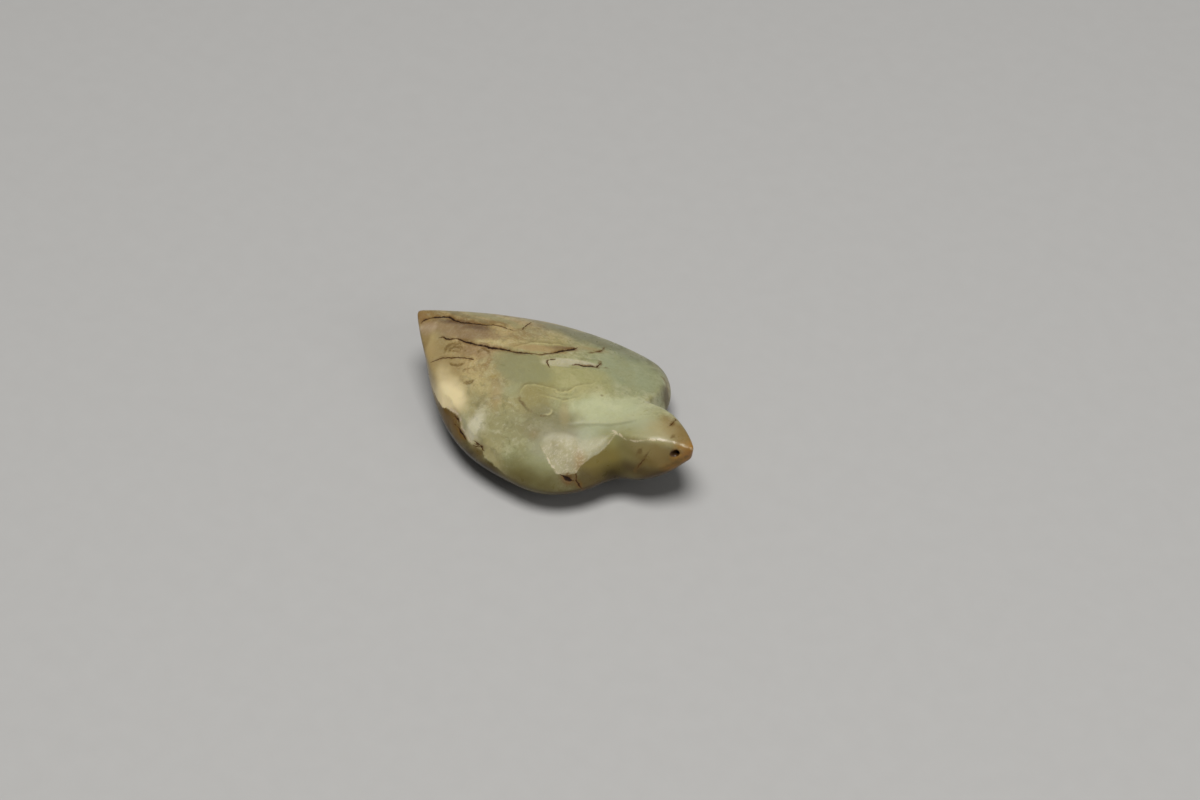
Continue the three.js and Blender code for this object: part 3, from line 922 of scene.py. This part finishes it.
def keepTints():  # lays the tints over one another and keeps the result for the finish
    points = readVertices()
    size = tintDrift["size"]
    noise.seed_set(tintDrift["seed"])
    drift = [
        sum((noise.noise_vector(Vector(p) * n / size) / n for n in (1, 2, 4)), Vector())
        for p in points]
    drift = np.array(drift) * tintDrift["strength"]
    side, away = readKept("bordersSide"), readKept("bordersAway")
    inside = np.maximum(eased(side, -0.08, 0.1), eased(away, 6, 9))
    side, away = readKept("rimSide"), readKept("rimAway")
    inside *= np.maximum(eased(side, -0.2, 0.1), eased(away, 5, 8))
    colours = {layer: np.zeros((len(points), 3)) for layer in ("anywhere", "within", "beyond")}
    covers = {layer: np.zeros(len(points)) for layer in colours}
    marks = {mark: np.zeros(len(points)) for mark in ("frost", "fluffy", "matte")}
    for patch in tints.values():
        spot = np.array(onStone(skin, *patch["at"])[0])
        offset = points + drift * (tintDrift["crisp"] if patch["crisp"] else 1) - spot
        turn = math.radians(patch["turn"])
        x = offset[:, 0] * math.cos(turn) + offset[:, 1] * math.sin(turn)
        y = offset[:, 1] * math.cos(turn) - offset[:, 0] * math.sin(turn)
        distance = np.linalg.norm(np.stack((x, y, offset[:, 2]), axis=1) / patch["reach"], axis=1)
        edge = patch["edge"]
        share = eased(distance, 1 + edge, 1 - edge) * patch["share"]
        layer = patch["layer"]
        colour = np.array(fromSrgb(*patch["colour"])[:3])
        colours[layer] = colours[layer] * (1 - share)[:, None] + colour * share[:, None]
        covers[layer] = 1 - (1 - covers[layer]) * (1 - share)
        if layer == "within":
            share = share * inside
        for mark in marks:
            marks[mark] = np.maximum(marks[mark], share * patch.get(mark, 0))
    for layer, cover in covers.items():
        keepColours(layer + "Tint", colours[layer] / np.maximum(cover, 1e-4)[:, None])
        keepValues(layer + "Cover", cover)
    for mark, shares in marks.items():
        keepValues(mark, np.minimum(shares, 1))


keepTints()
print("tints kept")


# Finish: back to metres, one piece standing for the CAD node

def finishStone():
    stone.data.transform(Matrix.Scale(mm, 4))
    for polygon in stone.data.polygons:
        polygon.use_smooth = True
    stone.data.update()
    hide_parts("jade_bird")
    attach(stone, "root")


finishStone()
print("stone finished:", len(stone.data.polygons), "faces")


# Table and light

tableTop = {
    "radius": 1.2,  # metres
    "colour": (0.56, 0.55, 0.53),
    "shade": (0.53, 0.52, 0.5),
    "grainSize": 0.004,
    "roughness": 0.8,
}


def makeTable():
    mesh = bpy.data.meshes.new("tableTop")
    r = tableTop["radius"]
    mesh.from_pydata([(-r, -r, 0), (r, -r, 0), (r, r, 0), (-r, r, 0)], [], [(0, 1, 2, 3)])
    thing = bpy.data.objects.new("tableTop", mesh)
    scene.collection.objects.link(thing)
    material = bpy.data.materials.new("paleTable")
    material.use_nodes = True
    tree = material.node_tree
    shader = tree.nodes["Principled BSDF"]
    place = addNode(tree, "ShaderNodeTexCoord").outputs["Object"]
    fibres = {"Vector": place, "Scale": 1 / tableTop["grainSize"], "Detail": 4.0}
    fibres = addNode(tree, "ShaderNodeTexNoise", fibres).outputs[0]
    tones = {0: fibres, 6: (*tableTop["shade"], 1), 7: (*tableTop["colour"], 1)}
    tone = addNode(tree, "ShaderNodeMix", tones, data_type="RGBA").outputs[2]
    tree.links.new(tone, shader.inputs["Base Color"])
    shader.inputs["Roughness"].default_value = tableTop["roughness"]
    mesh.materials.append(material)


makeTable()

studio = {
    "softbox": {"place": (0.06, -0.12, 0.93), "size": 0.5, "power": 6.6},
    "window": {"place": (0.8, -0.1, 0.5), "size": 0.5, "power": 0.9},
}


def makeLight(name, facts):
    data = bpy.data.lights.new(name, "AREA")
    data.shape = "DISK"
    data.size = facts["size"]
    data.energy = facts["power"]
    lamp = bpy.data.objects.new(name, data)
    scene.collection.objects.link(lamp)
    lamp.location = facts["place"]
    lamp.rotation_euler = (-Vector(facts["place"])).to_track_quat("-Z", "Y").to_euler()


for lampName, lampFacts in studio.items():
    makeLight(lampName, lampFacts)

room = {
    "colour": (0.8, 0.8, 0.8),
    "light": 0.12,  # strength as a light
    "seen": 0.62,  # strength as a backdrop
}
world = bpy.data.worlds.new("paleRoom")
world.use_nodes = True
background = world.node_tree.nodes["Background"]
background.inputs["Color"].default_value = (*room["colour"], 1)
seen = addNode(world.node_tree, "ShaderNodeLightPath").outputs["Is Camera Ray"]
strength = addNode(world.node_tree, "ShaderNodeMapRange", {0: seen, 3: room["light"], 4: room["seen"]})
world.node_tree.links.new(strength.outputs[0], background.inputs["Strength"])
scene.world = world
scene.view_settings.view_transform = "Standard"
print("table and light set")
